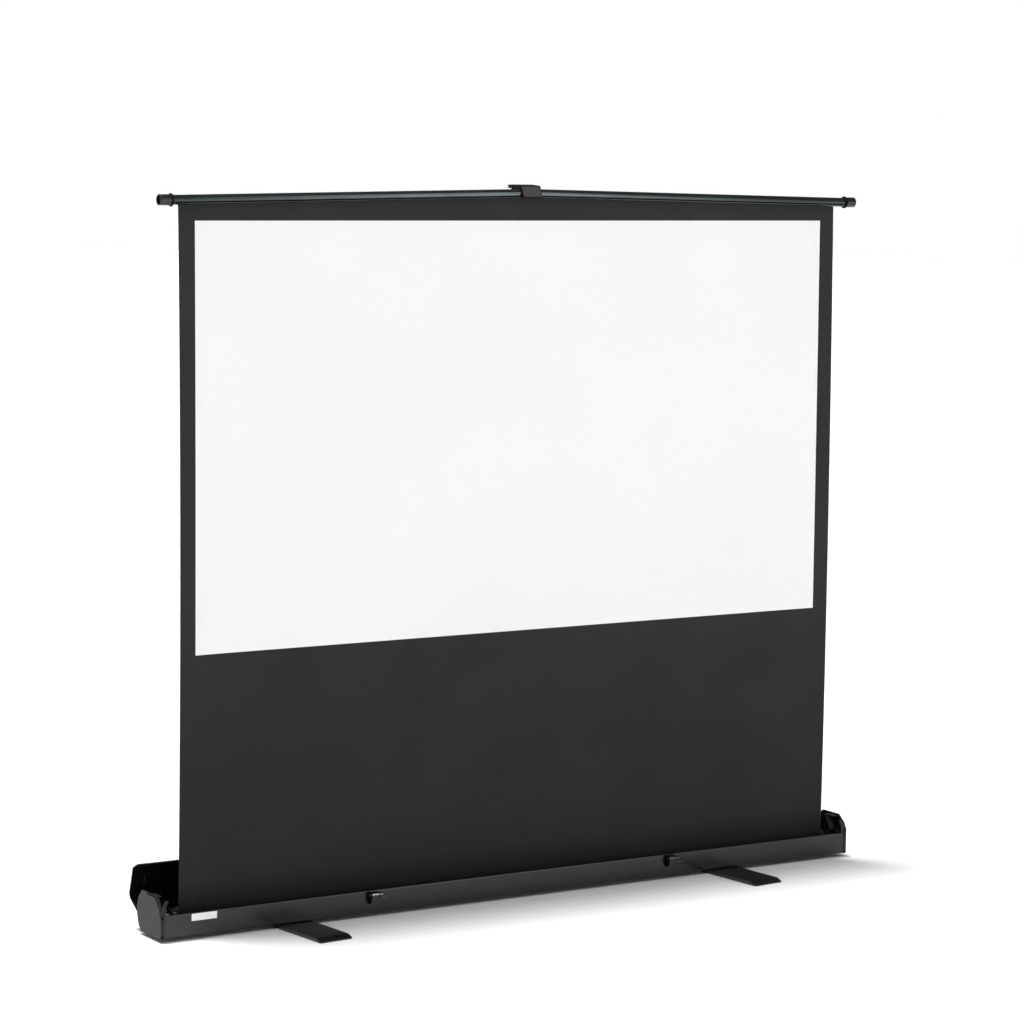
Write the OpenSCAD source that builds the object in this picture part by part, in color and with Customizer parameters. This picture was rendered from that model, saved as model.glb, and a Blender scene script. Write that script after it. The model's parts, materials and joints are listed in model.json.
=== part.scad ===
// Pull-up projection screen: floor case with a rear lid, spring roller, knee arms and bowed top bar.
// Millimetres. X runs to the right along the case, Y to the back, Z up.
// The origin is on the floor under the middle of the case.

/* [Screen fabric] */
// Width of the white image area
view_w = 1600; // [1200:10:1700]
// Height of the white image area
view_h = 900; // [600:10:960]
// Black border beside the image area
side_border = 38; // [20:1:60]
// Black border between the image area and the hem rod
top_border = 42.4; // [25:0.2:70]
// Height of the image area's lower edge above the underside of the case
view_z0 = 586; // [500:2:640]
// Thickness of the screen fabric
fabric_t = 0.4; // [0.3:0.05:0.5]
// Thickness of the white coating on the image area
coat_t = 0.15; // [0.1:0.05:0.3]
// Distance of the fabric behind the front face of the case
fabric_y = 28.3; // [27:0.1:31]

/* [Case] */
// Room between the fabric's edge and the end of the case
end_room = 54.5; // [53.5:0.5:80]
// How far the back of the case bulges behind its floor
rear_bulge = 21; // [20:0.5:31]
// Overall height of the end caps
case_h = 88.5; // [88:0.5:100]
// Wall of the trough
trough_wall = 2; // [1.5:0.1:2.5]
// Height of the front wall of the trough
front_wall_h = 49; // [44:1:51]
// Width of the turned-in lip on the front wall
front_lip = 2.8; // [2.4:0.1:2.9]
// Thickness of the end cap's outer plate
cap_plate = 3.5; // [3:0.1:5]
// Width of the cap's rim that shows beside the trough
cap_rim = 9; // [7:0.5:12]
// Wall of the lid
lid_wall = 2; // [1.5:0.1:2.5]
// Opening angle of the lid from closed
lid_open = 73; // [70:1:78]

/* [Top bar] */
// Outer diameter of the top tube
tube_d = 20.6; // [18:0.2:22]
// Wall of the top tube
tube_wall = 1.5; // [1:0.1:2.5]
// Gap between the bar's ends and the plates of the end caps
bar_room = 1.5; // [0.5:0.5:8]
// Length of an end plug that shows outside its collar
plug_l = 25.5; // [18:0.5:27]
// Diameter of an end plug
plug_d = 23; // [22.5:0.1:23.4]
// Diameter of a collar
collar_d = 27.4; // [26:0.2:28]
// Width of a collar along the tube
collar_w = 4; // [3.6:0.2:9]
// Slope of each half of the top tube, pushed up in the middle
bow_slope = 1.07; // [0.4:0.01:1.2]
// Distance of the tube's axis in front of the fabric
bar_ahead = 11.3; // [11.2:0.1:12]
// Diameter of the hem rod
hem_rod_d = 6; // [5:0.2:6.4]

/* [Clip] */
// Width of the middle clip along the tube
clip_w = 50; // [40:1:60]
// Reach of the clip's top plate behind the tube's axis
clip_reach = 48.6; // [48:0.2:49.4]
// Thickness of the clip's top plate at the notch
clip_plate_t = 7.2; // [6.8:0.1:8]

/* [Knee arms] */
// Angle of the raised arms above the level
arm_angle = 66.6; // [65:0.1:69]
// Height of a lower pivot above the underside of the case
arm_z = 44; // [40:1:50]
// Half distance between the two pivots of a pair of arms
pivot_half = 24; // [22:0.5:26]
// Width of an arm
arm_w = 20; // [14:1:24]
// Thickness of an arm
arm_t = 6; // [4:0.5:6.4]
// Diameter of the arm pins
arm_pin_d = 10; // [8:0.5:12]
// Distance of the front arm layer behind the front face of the case
arm_y = 71; // [70:0.5:72]

/* [Roller] */
// Diameter of the roller tube
roller_d = 30; // [28:0.5:32]
// Wall of the roller tube
roller_wall = 1.2; // [0.8:0.1:2]
// Height of the roller's axis above the underside of the case
roller_z = 38; // [34:1:40]
// Number of turns of fabric left on the roller
roll_turns = 2; // [1:1:4]

/* [Feet] */
// Length of a foot
foot_l = 430; // [380:5:560]
// Width of a foot
foot_w = 81; // [60:1:100]
// Thickness of a foot
foot_t = 8; // [6:0.5:10]
// Distance of the left foot's pivot from the left end of the case
foot_left_in = 311.5; // [240:0.5:420]
// Distance of the right foot's pivot from the right end of the case
foot_right_in = 358.5; // [240:0.5:420]
// Turn of each foot away from square to the case
foot_turn = 5; // [0:0.5:6]
// Length of the sloped nose at each end of a foot
foot_nose = 17; // [12:1:50]

/* [Latches] */
// Distance of the left latch from the left end of the case
latch_left_in = 512.5; // [420:0.5:600]
// Distance of the right latch from the right end of the case
latch_right_in = 496.5; // [420:0.5:600]
// Width of a latch over its ear and its tab
latch_w = 37; // [34:1:50]
// Height of a latch base
latch_h = 26; // [22:1:28]

/* [Fits] */
// Radial running clearance of pins
pin_clear = 0.05; // [0.02:0.01:0.1]
// Gap between parts that slide or stand face to face
part_gap = 0.4; // [0.3:0.05:0.6]

/* [Hidden] */
$fn = 64;

// Colours of the real finishes
black_paint = [0.20, 0.20, 0.21];
black_plastic = [0.24, 0.24, 0.25];
black_cloth = [0.17, 0.17, 0.18];
white_cloth = [0.97, 0.97, 0.97];
bare_steel = [0.62, 0.63, 0.65];
rubber_black = [0.08, 0.08, 0.08];

// Height of the case's underside above the floor: foot, its pads and the washer above it
pad_t = 1.5;
pad_proud = 0.4;
washer_t = 0.6;
case_z = pad_proud + foot_t + washer_t;

// Arms and their base in two layers, and the depth of the case that holds them
layer_gap = 0.8;
rear_arm_y = arm_y + arm_t + layer_gap;
arm_back_y = rear_arm_y + arm_t;
base_y = arm_back_y + part_gap;
base_t = 4;
base_flange = 3.2;
base_room = 1.6;
floor_end = base_y + base_t + base_flange + base_room;
case_d = floor_end + rear_bulge;

// Shape of the end cap, seen from the side
plate_front_h = 57;
plate_nose = [7, 71];
plate_top_y = 28;
rear_top_in = 25;
rear_shoulder = [8, 17.5];
belly_z = 47;
rear_low = [2, 29];
rear_knee = [9, 10];
plate_points = [[0, 0], [0, plate_front_h], plate_nose, [plate_top_y, case_h],
    [case_d - rear_top_in, case_h], [case_d - rear_shoulder[0], case_h - rear_shoulder[1]],
    [case_d, belly_z], [case_d - rear_low[0], rear_low[1]],
    [case_d - rear_knee[0], rear_knee[1]], [floor_end, 0]];

// Lid hinge at the top of the rear wall
hinge_y = case_d - 3;
hinge_z = 28;
knuckle_r = 4;
rod_r = 1.75;
knuckle_l = 70;
knuckle_end = 123.5;
knuckle_sites = [-2, -1, 0, 1, 2];
edge_off = knuckle_r + part_gap;

// Trough and lid as bent sheets, seen from the side, the lid closed
wall_run = [(case_d - rear_knee[0]) - hinge_y, rear_knee[1] - hinge_z];
wall_dir = wall_run / norm(wall_run);
trough_path = [[front_lip, front_wall_h], [0, front_wall_h], [0, 0], [floor_end, 0],
    [case_d - rear_knee[0], rear_knee[1]], [hinge_y, hinge_z] + wall_dir * edge_off];
lid_inset = 1.2;
lid_tip = [lid_inset, front_wall_h + 1];
lid_lip = [lid_inset + 1, plate_front_h - 2];
lid_brow = plate_nose + [2.5, -2.5];
lid_front = [plate_top_y - 1, case_h - lid_inset];
lid_rear = [case_d - rear_top_in, case_h - lid_inset];
lid_haunch = [case_d - rear_top_in / 2 - 4.5, case_h - rear_shoulder[1] / 2 - 0.5];
lid_run = [lid_haunch[0] - hinge_y, lid_haunch[1] - hinge_z];
lid_dir = lid_run / norm(lid_run);
lid_path = [lid_tip, lid_lip, lid_brow, lid_front, lid_rear, lid_haunch,
    [hinge_y, hinge_z] + lid_dir * edge_off];

// Ends along the case
fabric_half = view_w / 2 + side_border;
case_l = 2 * (fabric_half + end_room);
cap_in = case_l / 2 - cap_plate;
trough_half = case_l / 2 - cap_rim;
lid_half = cap_in - part_gap;
knuckle_pitch = (trough_half - knuckle_end) / max(knuckle_sites);
block_l = 17;
block_x = cap_in - block_l;
latch_sites = [latch_left_in - case_l / 2, case_l / 2 - latch_right_in];

// Foot bolts, through the floor of the trough into the feet
foot_sites = [foot_left_in - case_l / 2, case_l / 2 - foot_right_in];
foot_bolt_r = 6;
foot_bore_r = foot_bolt_r + pin_clear;

// Roller
roller_r = roller_d / 2;
roll_r = roller_r + roll_turns * fabric_t;
roller_y = fabric_y + fabric_t + roll_r;
roller_half = fabric_half + 10;
spindle_r = 4;

// Heights of the bar and the arms above the underside of the case
bar_z = view_z0 + view_h + top_border;
bar_y = fabric_y - bar_ahead;
stow_bar_z = 60;
travel = bar_z - stow_bar_z;
arm_l = travel / (2 * sin(arm_angle));
knee_x = pivot_half + arm_l * cos(arm_angle);
knee_z = arm_z + arm_l * sin(arm_angle);
arm_top_z = arm_z + travel;
hub_r = pivot_half - 2.5;
eye_r = 13;

// Gear sectors on the arms' hubs
teeth_round = 24;
tooth_step = 360 / teeth_round;
tooth_top = 1.1;
tooth_root = 3.1;
tooth_tip_r = pivot_half + 1.3;
sector_back = 80;
sector_front = 20;

// Top tube: straight halves that meet in the middle
bar_half = cap_in - bar_room;
collar_in = bar_half - plug_l - collar_w;
bow_mid_z = collar_in * tan(bow_slope);
groove_r = tube_wall * 0.65;
groove_turn = 31;
hem_r = hem_rod_d / 2;
hem_skin = 2 * fabric_t;
hem_y = fabric_y + hem_r + hem_skin - fabric_t;
hem_pin_l = 1.8;

// Clip, measured from the tube's axis in the middle
clip_top = 17.4;
clip_top_rear = 19.2;
clip_front_y = -6.5;
clip_toe = [-18, -8.1];
clip_heel_z = 5;
clip_bore_r = tube_d / 2 + clip_w / 2 * tan(bow_slope) + 0.1;
notch_r = 2.8;
bead_r = 2.4;
bead_half = 12;
notch_y = clip_reach - 2.4;
notch_z = clip_top_rear - clip_plate_t / 2;
notch_slot = 3;
plate_inset = 2;
clip_plate_thick = 1;
bar_mid_z = bar_z + bow_mid_z;

// Bracket between the clip and the arms
bracket_t = 3;
bracket_y = arm_y - part_gap - bracket_t;
bracket_half = pivot_half + 14;
bracket_neck = 20;

// Latch, measured from its middle on the front face
latch_z0 = 21;
latch_t = 1.5;
ear_t = 2;
ear_reach = 14;
small_ear_reach = 11;
latch_pin_r = 1.5;
barrel_r = 5;
latch_axis_y = latch_t + barrel_r + 1.5;
latch_axis_z = latch_z0 + latch_h - barrel_r - 1;
barrel_x0 = -latch_w / 2 + ear_t + part_gap;
small_ear_x = 2;
tab_slope = 38;
tab_reach = 11;
tab_t = 2;
tab_hub_r = 3;

// Unit normal to the left of the way from a to b
function left_of(a, b) = [a[1] - b[1], b[0] - a[0]] / norm(b - a);
// Shift of corner i of an open path that keeps a sheet's thickness t
function corner_shift(p, i, t) =
    let (n0 = left_of(p[max(i - 1, 0)], p[max(i, 1)]),
        n1 = left_of(p[min(i, len(p) - 2)], p[min(i + 1, len(p) - 1)]))
    t * (n0 + n1) / (1 + n0 * n1);
// The same path moved sideways by t
function beside(p, t) = [for (i = [0 : len(p) - 1]) p[i] + corner_shift(p, i, t)];
function reversed(p) = [for (i = [len(p) - 1 : -1 : 0]) p[i]];

// Side profile of a bent sheet of thickness t along a path
module bent_sheet(p, t) {
    polygon(concat(p, reversed(beside(p, t))));
}

// Case coordinates: depth behind the front face and height above the underside
module in_case() {
    translate([0, -case_d / 2, case_z]) children();
}

// A side profile (depth, height) extruded along the case from x0 to x1
module along_x(x0, x1) {
    translate([x0, 0, 0]) rotate([90, 0, 90]) linear_extrude(x1 - x0) children();
}

// A round bar along the case
module rod_x(x0, x1, y, z, r) {
    translate([x0, y, z]) rotate([0, 90, 0]) cylinder(h = x1 - x0, r = r);
}

// A round bar from front to back
module rod_y(y0, y1, x, z, r) {
    translate([x, y0, z]) rotate([-90, 0, 0]) cylinder(h = y1 - y0, r = r);
}

// The same shape at the left and, mirrored, at the right
module at_side(side) {
    if (side < 0) mirror([1, 0, 0]) children();
    else children();
}

// Stretch of sheet between a knuckle and the sheet's edge
module knuckle_web(dir, t) {
    n = [-dir[1], dir[0]];
    o = [hinge_y, hinge_z];
    polygon([o, o + dir * (edge_off + 1), o + dir * (edge_off + 1) + n * t, o + n * t]);
}

// Turned about the lid's hinge from closed to open
module lid_place() {
    translate([0, hinge_y, hinge_z]) rotate([-lid_open, 0, 0]) translate([0, -hinge_y, -hinge_z]) children();
}

module trough() {
    color(black_paint) in_case() difference() {
        union() {
            along_x(-trough_half, trough_half) bent_sheet(trough_path, trough_wall);
            for (k = knuckle_sites) {
                rod_x(k * knuckle_pitch - knuckle_l / 2, k * knuckle_pitch + knuckle_l / 2,
                    hinge_y, hinge_z, knuckle_r);
                along_x(k * knuckle_pitch - knuckle_l / 2, k * knuckle_pitch + knuckle_l / 2)
                    knuckle_web(wall_dir, -trough_wall);
            }
        }
        rod_x(-trough_half - 1, trough_half + 1, hinge_y, hinge_z, rod_r);
        for (x = foot_sites) translate([x, case_d / 2, -1])
            cylinder(h = trough_wall + 2, r = foot_bolt_r);
    }
}

module end_cap(side) {
    floor_path = [for (i = [2 : len(trough_path) - 1]) trough_path[i]];
    spigot_path = concat([[seat_front, 0]], [for (i = [1 : len(floor_path) - 1]) floor_path[i]]);
    color(black_plastic) in_case() at_side(side) {
        along_x(cap_in, case_l / 2) polygon(plate_points);
        along_x(trough_half, cap_in) bent_sheet(trough_path, trough_wall);
        along_x(trough_half - spigot_l, cap_in)
            bent_sheet(beside(spigot_path, trough_wall + part_gap / 2), spigot_t);
    }
}

module end_cap_left() { end_cap(-1); }
module end_cap_right() { end_cap(1); }

// Guide for the bar's end plug and carrier of the roller
seat_front = trough_wall + part_gap / 2;
spigot_l = 10;
spigot_t = 2;
guide_gap = 0.3;
guide_t = bar_y - plug_d / 2 - guide_gap - seat_front;
guide_top = 79;
guide_w = 10;
guide_reach = 15.5;
guide_bend = [58, 68, 75.5];
guide_back = [[4, 72], [0, 62]];
lip_room = 0.2;
seat_back = 14;
seat_low = 34;
seat_top = stow_bar_z + 3;
rib_t = 3;
rib_low = [37, 52];
rib_high = [57, 83];
boss_r = 9;
web_t = 2.5;
block_floor = trough_wall + spigot_t + part_gap;

// Outline of the front guide seen from the front: a post whose top arches inwards
module guide_outline() {
    translate([cap_in, 0]) polygon([[0, block_floor], [-guide_w, block_floor], [-guide_w, guide_bend[0]],
        [-guide_w - 1, guide_bend[1]], [-guide_reach, guide_bend[2]], [-guide_reach, guide_top],
        [1 - guide_w, guide_top], [-guide_back[0][0], guide_back[0][1]], guide_back[1]]);
}

module end_block(side) {
    shelf_y = roller_y + boss_r;
    color(black_plastic) in_case() at_side(side) difference() {
        union() {
            translate([0, seat_front + guide_t, 0]) rotate([90, 0, 0])
                linear_extrude(guide_t) guide_outline();
            along_x(cap_in - guide_w, cap_in)
                translate([seat_front, seat_low])
                    square([bar_y + seat_back - seat_front, seat_top - seat_low]);
            along_x(block_x, cap_in) {
                translate([seat_front, block_floor]) square([shelf_y - seat_front, 4]);
                bent_sheet([rib_low, rib_high], rib_t);
            }
            rod_x(block_x, cap_in, rib_low[0] - rib_t / 2, rib_low[1], rib_t * 0.6);
            along_x(cap_in - web_t, cap_in) {
                translate([seat_front, block_floor])
                    square([shelf_y - seat_front, seat_low + 12 - block_floor]);
                polygon([[bar_y + seat_back, seat_low + 11], [shelf_y, seat_low + 11], rib_high,
                    [bar_y + seat_back + 6, rib_high[1] - 8]]);
            }
            rod_x(block_x - 6, cap_in, roller_y, roller_z, boss_r);
        }
        rod_x(cap_in - guide_w - 1, cap_in + 1, bar_y, stow_bar_z, plug_d / 2 + guide_gap);
        along_x(cap_in - guide_reach - 1, cap_in + 1) translate([0, front_wall_h - trough_wall - lip_room])
            square([front_lip + lip_room, trough_wall + 2 * lip_room]);
        rod_x(block_x - 7, cap_in - web_t, roller_y, roller_z, side < 0 ? spindle_r : bush_r);
    }
}

module end_block_left() { end_block(-1); }
module end_block_right() { end_block(1); }

// One small screw on the front of each cap's rim
screw_r = 2.6;
screw_z = 43;
screw_t = 0.9;
module cap_screws() {
    color(black_paint) in_case() for (s = [-1, 1])
        rod_y(-screw_t, 0, s * (case_l / 2 - cap_rim / 2), screw_z, screw_r);
}

module hinge_rod() {
    color(bare_steel) in_case() rod_x(-trough_half + 2, trough_half - 2, hinge_y, hinge_z, rod_r - 0.01);
}

// Bare white label on the front wall
label_w = 59;
label_h = 15;
label_t = 0.25;
label_in = 62.5;
label_z = 31.5;
module blank_label() {
    color(white_cloth) in_case() translate([label_in - trough_half, -label_t, label_z])
        cube([label_w, label_t, label_h]);
}

// Fixed spindle at the left, which holds the roller's spring
spindle_l = 326.5;
spindle_in = cap_in - web_t - spindle_l;
module spring_spindle() {
    color(bare_steel) in_case() {
        rod_x(-cap_in + web_t, -spindle_in, roller_y, roller_z, spindle_r);
        rod_x(-spindle_in - 12, -spindle_in, roller_y, roller_z, spring_r - 2.4);
    }
}

bush_r = 6.5;
module idler_bush() {
    color([0.16, 0.16, 0.16]) in_case() difference() {
        rod_x(block_x - 6, cap_in - web_t, roller_y, roller_z, bush_r);
        rod_x(block_x - 7, cap_in, roller_y, roller_z, spindle_r + pin_clear);
    }
}

// Upright plate behind the arms, standing on the floor of the trough
base_wing = 36;
base_half = pivot_half + base_wing;
base_top = arm_z + 16;
base_flange_t = 3;
module arm_base() {
    color(black_paint) in_case() difference() {
        union() {
            translate([-base_half, base_y, trough_wall])
                cube([2 * base_half, base_t, base_top - trough_wall]);
            translate([-base_half, base_y + base_t, trough_wall])
                cube([2 * base_half, base_flange, base_flange_t]);
            for (x = [-base_half, -1.5, base_half - 3]) base_gusset(x);
        }
        for (s = [-1, 1]) rod_y(base_y - 1, base_y + base_t + 1, s * pivot_half, arm_z, arm_pin_d / 2);
    }
}

module base_gusset(x) {
    along_x(x, x + 3) polygon([[base_y + base_t, trough_wall], [base_y + base_t + base_flange, trough_wall],
        [base_y + base_t + base_flange, trough_wall + 12], [base_y + base_t, base_top - 8]]);
}

module base_pins() {
    color(bare_steel) in_case() for (s = [-1, 1]) {
        rod_y(rear_arm_y, base_y + base_t, s * pivot_half, arm_z, arm_pin_d / 2);
        rod_y(base_y + base_t, base_y + base_t + 1.6, s * pivot_half, arm_z, arm_pin_d / 2 + 2.5);
    }
}

// Moves a latch to its place on the front wall
module at_latch(side) {
    in_case() translate([latch_sites[side < 0 ? 0 : 1], 0, 0]) children();
}

// Big curved cheek at the left of a latch
module latch_cheek() {
    along_x(-latch_w / 2, -latch_w / 2 + ear_t) intersection() {
        translate([-ear_reach, latch_z0]) square([ear_reach, latch_h + 1]);
        translate([ear_reach * 0.5, latch_z0 + latch_h * 0.62]) circle(r = ear_reach * 1.5);
    }
}

module latch_base(side) {
    color(black_plastic) at_latch(side) difference() {
        union() {
            translate([-latch_w / 2, -latch_t, latch_z0])
                cube([latch_w / 2 + small_ear_x + ear_t, latch_t, latch_h + 1]);
            latch_cheek();
            along_x(small_ear_x, small_ear_x + ear_t) translate([-small_ear_reach, latch_axis_z - 4.5])
                square([small_ear_reach, 9]);
        }
        rod_x(-latch_w, latch_w, -latch_axis_y, latch_axis_z, latch_pin_r + pin_clear);
    }
}

module latch_base_left() { latch_base(-1); }
module latch_base_right() { latch_base(1); }

// Pin through the cheek into the barrel
module latch_pin(side) {
    color(bare_steel) at_latch(side) {
        rod_x(-latch_w / 2, barrel_x0 + 9, -latch_axis_y, latch_axis_z, latch_pin_r);
        rod_x(-latch_w / 2 - 0.8, -latch_w / 2, -latch_axis_y, latch_axis_z, latch_pin_r + 1.5);
    }
}

module latch_pin_left() { latch_pin(-1); }
module latch_pin_right() { latch_pin(1); }

// Lever: rolled barrel between the ears, and a finger tab beyond the small ear
module latch_lever(side) {
    tab_x = small_ear_x + ear_t + part_gap;
    color(black_paint) at_latch(side) difference() {
        union() {
            rod_x(barrel_x0, small_ear_x - part_gap, -latch_axis_y, latch_axis_z, barrel_r);
            rod_x(small_ear_x - part_gap, tab_x, -latch_axis_y, latch_axis_z, latch_pin_r);
            rod_x(tab_x, tab_x + 7, -latch_axis_y, latch_axis_z, tab_hub_r);
            translate([0, -latch_axis_y, latch_axis_z]) rotate([tab_slope, 0, 0])
                translate([tab_x, -tab_reach, -tab_t / 2]) cube([latch_w / 2 - tab_x, tab_reach, tab_t]);
        }
        rod_x(barrel_x0 - 1, barrel_x0 + 9.5, -latch_axis_y, latch_axis_z, latch_pin_r + pin_clear);
    }
}

module latch_lever_left() { latch_lever(-1); }
module latch_lever_right() { latch_lever(1); }

// Foot: flat bar that swivels under the case, sloped to a thin nose at both ends
nose_t = 1.6;
module at_foot(side) {
    translate([foot_sites[side < 0 ? 0 : 1], 0, 0]) rotate([0, 0, foot_turn]) children();
}

module foot(side) {
    color(black_paint) at_foot(side) difference() {
        translate([0, 0, pad_proud]) rotate([90, 0, 90]) translate([0, 0, -foot_w / 2])
            linear_extrude(foot_w) polygon([[-foot_l / 2, 0], [-foot_l / 2, nose_t],
                [-foot_l / 2 + foot_nose, foot_t], [foot_l / 2 - foot_nose, foot_t],
                [foot_l / 2, nose_t], [foot_l / 2, 0]]);
        translate([0, 0, pad_proud - 1]) cylinder(h = foot_t + 2, r = foot_bore_r);
        translate([0, 0, pad_proud - 1]) cylinder(h = 1 + bolt_head_t + 0.6, r = bolt_head_r + 0.6);
        for (s = [-1, 1]) pad_shape(s);
        for (x = [-1, 1], y = [-1, 1]) corner_cut(x, y);
    }
}

// Cuts a sloping corner off the foot's end
corner_in = 3;
module corner_cut(x, y) {
    scale([x, y, 1]) translate([0, 0, -1]) linear_extrude(foot_t + 4)
        polygon([[foot_w / 2 - corner_in, foot_l / 2 + 1], [foot_w / 2 + 1, foot_l / 2 + 1],
            [foot_w / 2 + 1, foot_l / 2 - corner_in * 1.2]]);
}

// Rubber strip across the foot near one end
pad_in = 44;
pad_w = 16;
module pad_shape(end) {
    translate([-foot_w / 2 + 8, end * (foot_l / 2 - pad_in) - pad_w / 2, 0])
        cube([foot_w - 16, pad_w, pad_t]);
}

module foot_pads(side) {
    color(rubber_black) at_foot(side) for (s = [-1, 1]) pad_shape(s);
}

module foot_left() { foot(-1); }
module foot_right() { foot(1); }
module foot_pads_left() { foot_pads(-1); }
module foot_pads_right() { foot_pads(1); }

bolt_head_r = 10;
bolt_head_t = 3;
module foot_bolt(side) {
    head_z = pad_proud + 0.4;
    top = case_z + trough_wall;
    color(bare_steel) translate([foot_sites[side < 0 ? 0 : 1], 0, 0]) {
        translate([0, 0, head_z]) cylinder(h = bolt_head_t, r = bolt_head_r);
        translate([0, 0, head_z]) cylinder(h = top + 6 - head_z, r = foot_bolt_r);
        translate([0, 0, case_z - washer_t + 0.1]) cylinder(h = washer_t - 0.1, r = 16);
        translate([0, 0, top]) cylinder(h = 4.5, r = 9, $fn = 6);
    }
}

module foot_bolt_left() { foot_bolt(-1); }
module foot_bolt_right() { foot_bolt(1); }

// Lid: flat panels bent from one sheet, standing open on its hinge.
// The corners of its lip are cut away around the front guides.
lid_knuckle_l = 60;
lid_knuckle_x = (knuckle_l + lid_knuckle_l) / 2 + part_gap;
notch_half = cap_in - guide_reach - 1.5;
notch_depth = 8;
module lid() {
    color(black_paint) in_case() lid_place() difference() {
        union() {
            along_x(-lid_half, lid_half) bent_sheet(lid_path, -lid_wall);
            for (k = knuckle_sites, s = [-1, 1]) {
                x = k * knuckle_pitch + s * lid_knuckle_x;
                rod_x(x - lid_knuckle_l / 2, x + lid_knuckle_l / 2, hinge_y, hinge_z, knuckle_r);
                along_x(x - lid_knuckle_l / 2, x + lid_knuckle_l / 2) knuckle_web(lid_dir, lid_wall);
            }
        }
        rod_x(-lid_half - 1, lid_half + 1, hinge_y, hinge_z, rod_r + pin_clear);
        for (s = [-1, 1]) at_side(s) translate([notch_half, -1, hinge_z])
            cube([lid_half, notch_depth + 1, guide_top + 2 - hinge_z]);
    }
}

// Turned steel hooks on the outside of the lid's lip, above the latches
catch_w = 24;
catch_t = 1.2;
catch_reach = 4;
module lid_catches() {
    dir = (lid_lip - lid_tip) / norm(lid_lip - lid_tip);
    low = lid_tip + dir * 0.8;
    high = low + dir * catch_t;
    out = [low[0] - catch_reach, low[1]];
    color(bare_steel) in_case() lid_place() for (x = latch_sites)
        along_x(x - catch_w / 2, x + catch_w / 2)
            polygon([low, high, [out[0], high[1]], out + [0, 3.5], out + [-catch_t, 3.5],
                out - [catch_t, 0]]);
}

// Soft strips inside the lid's top panel, over the stowed bar
seal_in = 30;
seal_l = 90;
seal_w = 24;
seal_t = 1.6;
module lid_seal() {
    inner = beside(lid_path, -lid_wall);
    dir = (inner[4] - inner[3]) / norm(inner[4] - inner[3]);
    n = [dir[1], -dir[0]];
    start = inner[3] + dir * 18;
    color(rubber_black) in_case() lid_place() for (s = [-1, 1]) at_side(s)
        along_x(lid_half - seal_in - seal_l, lid_half - seal_in)
            polygon([start, start + dir * seal_w, start + dir * seal_w + n * seal_t, start + n * seal_t]);
}

module roller_tube() {
    color(black_paint) in_case() difference() {
        rod_x(-roller_half, roller_half, roller_y, roller_z, roller_r);
        rod_x(-roller_half - 1, roller_half + 1, roller_y, roller_z, roller_r - roller_wall);
    }
}

// Plugs in the ends of the roller tube: the left one turns on the spindle, the right one has its own pin
plug_in = 26;
module roller_plug_left() {
    color(black_plastic) in_case() difference() {
        union() {
            rod_x(-roller_half, -roller_half + plug_in, roller_y, roller_z, roller_r - roller_wall);
            rod_x(-roller_half - 3, -roller_half, roller_y, roller_z, roller_r);
        }
        rod_x(-roller_half - 4, -roller_half + plug_in + 1, roller_y, roller_z, spindle_r + pin_clear);
    }
}

module roller_plug_right() {
    color(black_plastic) in_case() {
        rod_x(roller_half - plug_in, roller_half, roller_y, roller_z, roller_r - roller_wall);
        rod_x(roller_half, roller_half + 3, roller_y, roller_z, roller_r);
        rod_x(roller_half + 3, cap_in - 4, roller_y, roller_z, spindle_r);
    }
}

// Closed shape of the wound return spring inside the roller tube
spring_r = 11.6;
module roller_spring() {
    color(bare_steel) in_case() difference() {
        rod_x(-roller_half + plug_in, -spindle_in - 14, roller_y, roller_z, spring_r);
        rod_x(-roller_half + plug_in - 1, -spindle_in, roller_y, roller_z, spring_r - 2.2);
    }
}

module fabric_roll() {
    color(black_cloth) in_case() difference() {
        rod_x(-fabric_half, fabric_half, roller_y, roller_z, roll_r);
        rod_x(-fabric_half - 1, fabric_half + 1, roller_y, roller_z, roller_r);
    }
}

// Sheet from the roller's front up to the bowed hem
sheet_t = fabric_t - 0.05;
sheet_top = bar_z - hem_r - hem_skin - 0.2;
module fabric() {
    side_top = sheet_top + (collar_in - fabric_half) * tan(bow_slope);
    color(black_cloth) in_case() translate([0, fabric_y + sheet_t, 0]) rotate([90, 0, 0])
        linear_extrude(sheet_t) polygon([[-fabric_half, roller_z], [fabric_half, roller_z],
            [fabric_half, side_top], [0, sheet_top + bow_mid_z], [-fabric_half, side_top]]);
}

module screen_face() {
    color(white_cloth) in_case() translate([-view_w / 2, fabric_y - coat_t, view_z0])
        cube([view_w, coat_t, view_h]);
}

// Outline of a hub with gear teeth; face is the way to the other hub, low and high bound the teeth
module geared_hub(face, low, high, phase) {
    circle(r = hub_r);
    for (k = [-teeth_round : teeth_round]) {
        a = k * tooth_step + phase;
        if (a >= low && a <= high) rotate(face + a)
            polygon([[hub_r - 2, -tooth_root / 2], [tooth_tip_r, -tooth_top / 2],
                [tooth_tip_r, tooth_top / 2], [hub_r - 2, tooth_root / 2]]);
    }
}

// Flat arm in the X-Z plane from its hub at the origin, lying at an angle, with an eye at the far end
module arm_outline(angle) {
    rotate(angle) translate([0, -arm_w / 2]) square([arm_l, arm_w]);
    translate([arm_l * cos(angle), arm_l * sin(angle)]) circle(r = eye_r);
}

module arm_plate(y0, x, z) {
    in_case() translate([x, y0 + arm_t, z]) rotate([90, 0, 0]) linear_extrude(arm_t) children();
}

module lower_arm(side) {
    color(black_paint) difference() {
        at_side(side) arm_plate(rear_arm_y, pivot_half, arm_z) difference() {
            union() {
                geared_hub(180, -sector_back, sector_front, side < 0 ? tooth_step / 2 : 0);
                arm_outline(arm_angle);
            }
            circle(r = arm_pin_d / 2 + pin_clear);
        }
        in_case() rod_y(rear_arm_y - 1, arm_back_y + 1, side * knee_x, knee_z, arm_pin_d / 2);
    }
}

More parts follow.
